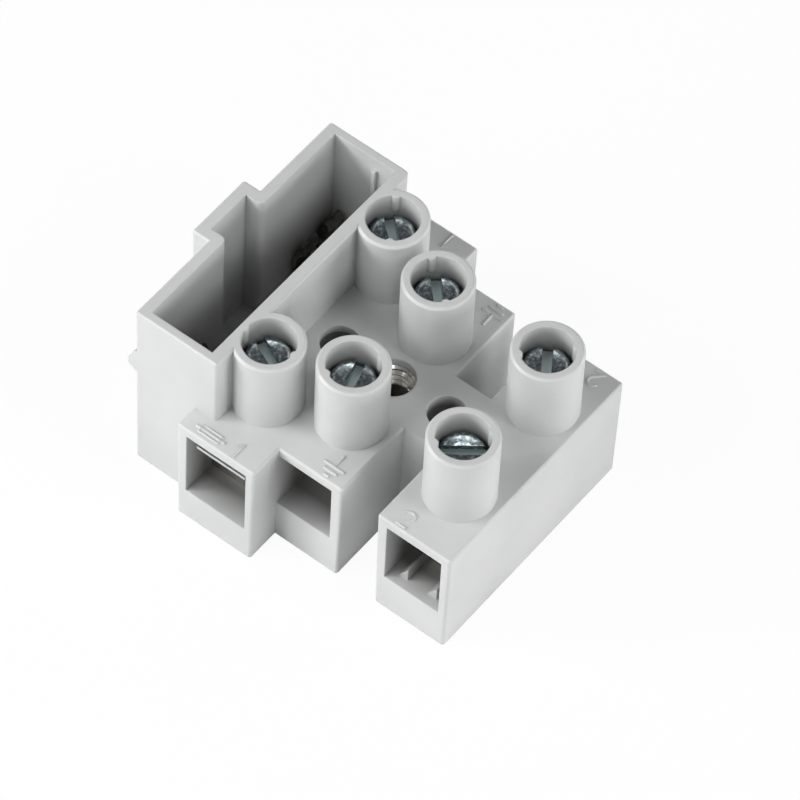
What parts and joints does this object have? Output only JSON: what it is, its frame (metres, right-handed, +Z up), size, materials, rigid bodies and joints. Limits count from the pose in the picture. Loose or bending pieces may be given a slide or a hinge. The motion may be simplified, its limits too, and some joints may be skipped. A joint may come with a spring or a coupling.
{
  "type": "fuse terminal block",
  "caption": "Screw terminal block with fuse chamber: moulded grey body, screw towers over wire clamps, earth bar with tapped hole, clips for a small cartridge fuse.",
  "frame": {"origin": "midway between the two mounting holes, on the base", "axes": "+Z up from the base to the screws, +X across the poles from the fuse chamber to the neutral pole, Y along the wires with the front at -Y"},
  "size_m": [0.0325, 0.0288, 0.0192],
  "materials": {
    "housing_plastic": "light grey moulded plastic, satin",
    "brass": "nickel plated brass, silver coloured",
    "clip_metal": "tin plated spring bronze, dull",
    "leaf_steel": "bright stainless strip",
    "screw_steel": "zinc plated steel, bluish"
  },
  "bodies": {
    "block": {"housing": "housing_plastic", "earth_bar": "brass", "neutral_bar": "brass", "fuse_clamp_front": "brass", "fuse_clip_front": "clip_metal", "fuse_clamp_rear": "brass", "fuse_clip_rear": "clip_metal"},
    "leaf_fuse_front": {"guard_leaf_fuse_front": "leaf_steel"},
    "screw_fuse_front": {"terminal_screw_fuse_front": "screw_steel"},
    "leaf_earth_front": {"guard_leaf_earth_front": "leaf_steel"},
    "screw_earth_front": {"terminal_screw_earth_front": "screw_steel"},
    "leaf_neutral_front": {"guard_leaf_neutral_front": "leaf_steel"},
    "screw_neutral_front": {"terminal_screw_neutral_front": "screw_steel"},
    "leaf_fuse_rear": {"guard_leaf_fuse_rear": "leaf_steel"},
    "screw_fuse_rear": {"terminal_screw_fuse_rear": "screw_steel"},
    "leaf_earth_rear": {"guard_leaf_earth_rear": "leaf_steel"},
    "screw_earth_rear": {"terminal_screw_earth_rear": "screw_steel"},
    "leaf_neutral_rear": {"guard_leaf_neutral_rear": "leaf_steel"},
    "screw_neutral_rear": {"terminal_screw_neutral_rear": "screw_steel"}
  },
  "joints": [
    {"name": "clamp_fuse_front", "type": "slide", "parent": "block", "child": "leaf_fuse_front", "axis": [0, 0, 1], "range_m": [-0.0022, 0]},
    {"name": "turn_fuse_front", "type": "hinge", "parent": "leaf_fuse_front", "child": "screw_fuse_front", "pos_m": [-0.0065, -0.00786, 0.0164], "axis": [0, 0, 1], "range_deg": [-1584, 0]},
    {"name": "clamp_earth_front", "type": "slide", "parent": "block", "child": "leaf_earth_front", "axis": [0, 0, 1], "range_m": [-0.0022, 0]},
    {"name": "turn_earth_front", "type": "hinge", "parent": "leaf_earth_front", "child": "screw_earth_front", "pos_m": [0, -0.00539, 0.0164], "axis": [0, 0, 1], "range_deg": [-1584, 0]},
    {"name": "clamp_neutral_front", "type": "slide", "parent": "block", "child": "leaf_neutral_front", "axis": [0, 0, 1], "range_m": [-0.0022, 0]},
    {"name": "turn_neutral_front", "type": "hinge", "parent": "leaf_neutral_front", "child": "screw_neutral_front", "pos_m": [0.01087, -0.00539, 0.0164], "axis": [0, 0, 1], "range_deg": [-1584, 0]},
    {"name": "clamp_fuse_rear", "type": "slide", "parent": "block", "child": "leaf_fuse_rear", "axis": [0, 0, 1], "range_m": [-0.0022, 0]},
    {"name": "turn_fuse_rear", "type": "hinge", "parent": "leaf_fuse_rear", "child": "screw_fuse_rear", "pos_m": [-0.0065, 0.00786, 0.0164], "axis": [0, 0, 1], "range_deg": [-1584, 0]},
    {"name": "clamp_earth_rear", "type": "slide", "parent": "block", "child": "leaf_earth_rear", "axis": [0, 0, 1], "range_m": [-0.0022, 0]},
    {"name": "turn_earth_rear", "type": "hinge", "parent": "leaf_earth_rear", "child": "screw_earth_rear", "pos_m": [0, 0.00539, 0.0164], "axis": [0, 0, 1], "range_deg": [-1584, 0]},
    {"name": "clamp_neutral_rear", "type": "slide", "parent": "block", "child": "leaf_neutral_rear", "axis": [0, 0, 1], "range_m": [-0.0022, 0]},
    {"name": "turn_neutral_rear", "type": "hinge", "parent": "leaf_neutral_rear", "child": "screw_neutral_rear", "pos_m": [0.01087, 0.00539, 0.0164], "axis": [0, 0, 1], "range_deg": [-1584, 0]}
  ],
  "couplings": [
    {"joint": "turn_fuse_front", "follows": "clamp_fuse_front", "rad_per_m": 12566},
    {"joint": "turn_earth_front", "follows": "clamp_earth_front", "rad_per_m": 12566},
    {"joint": "turn_neutral_front", "follows": "clamp_neutral_front", "rad_per_m": 12566},
    {"joint": "turn_fuse_rear", "follows": "clamp_fuse_rear", "rad_per_m": 12566},
    {"joint": "turn_earth_rear", "follows": "clamp_earth_rear", "rad_per_m": 12566},
    {"joint": "turn_neutral_rear", "follows": "clamp_neutral_rear", "rad_per_m": 12566}
  ]
}
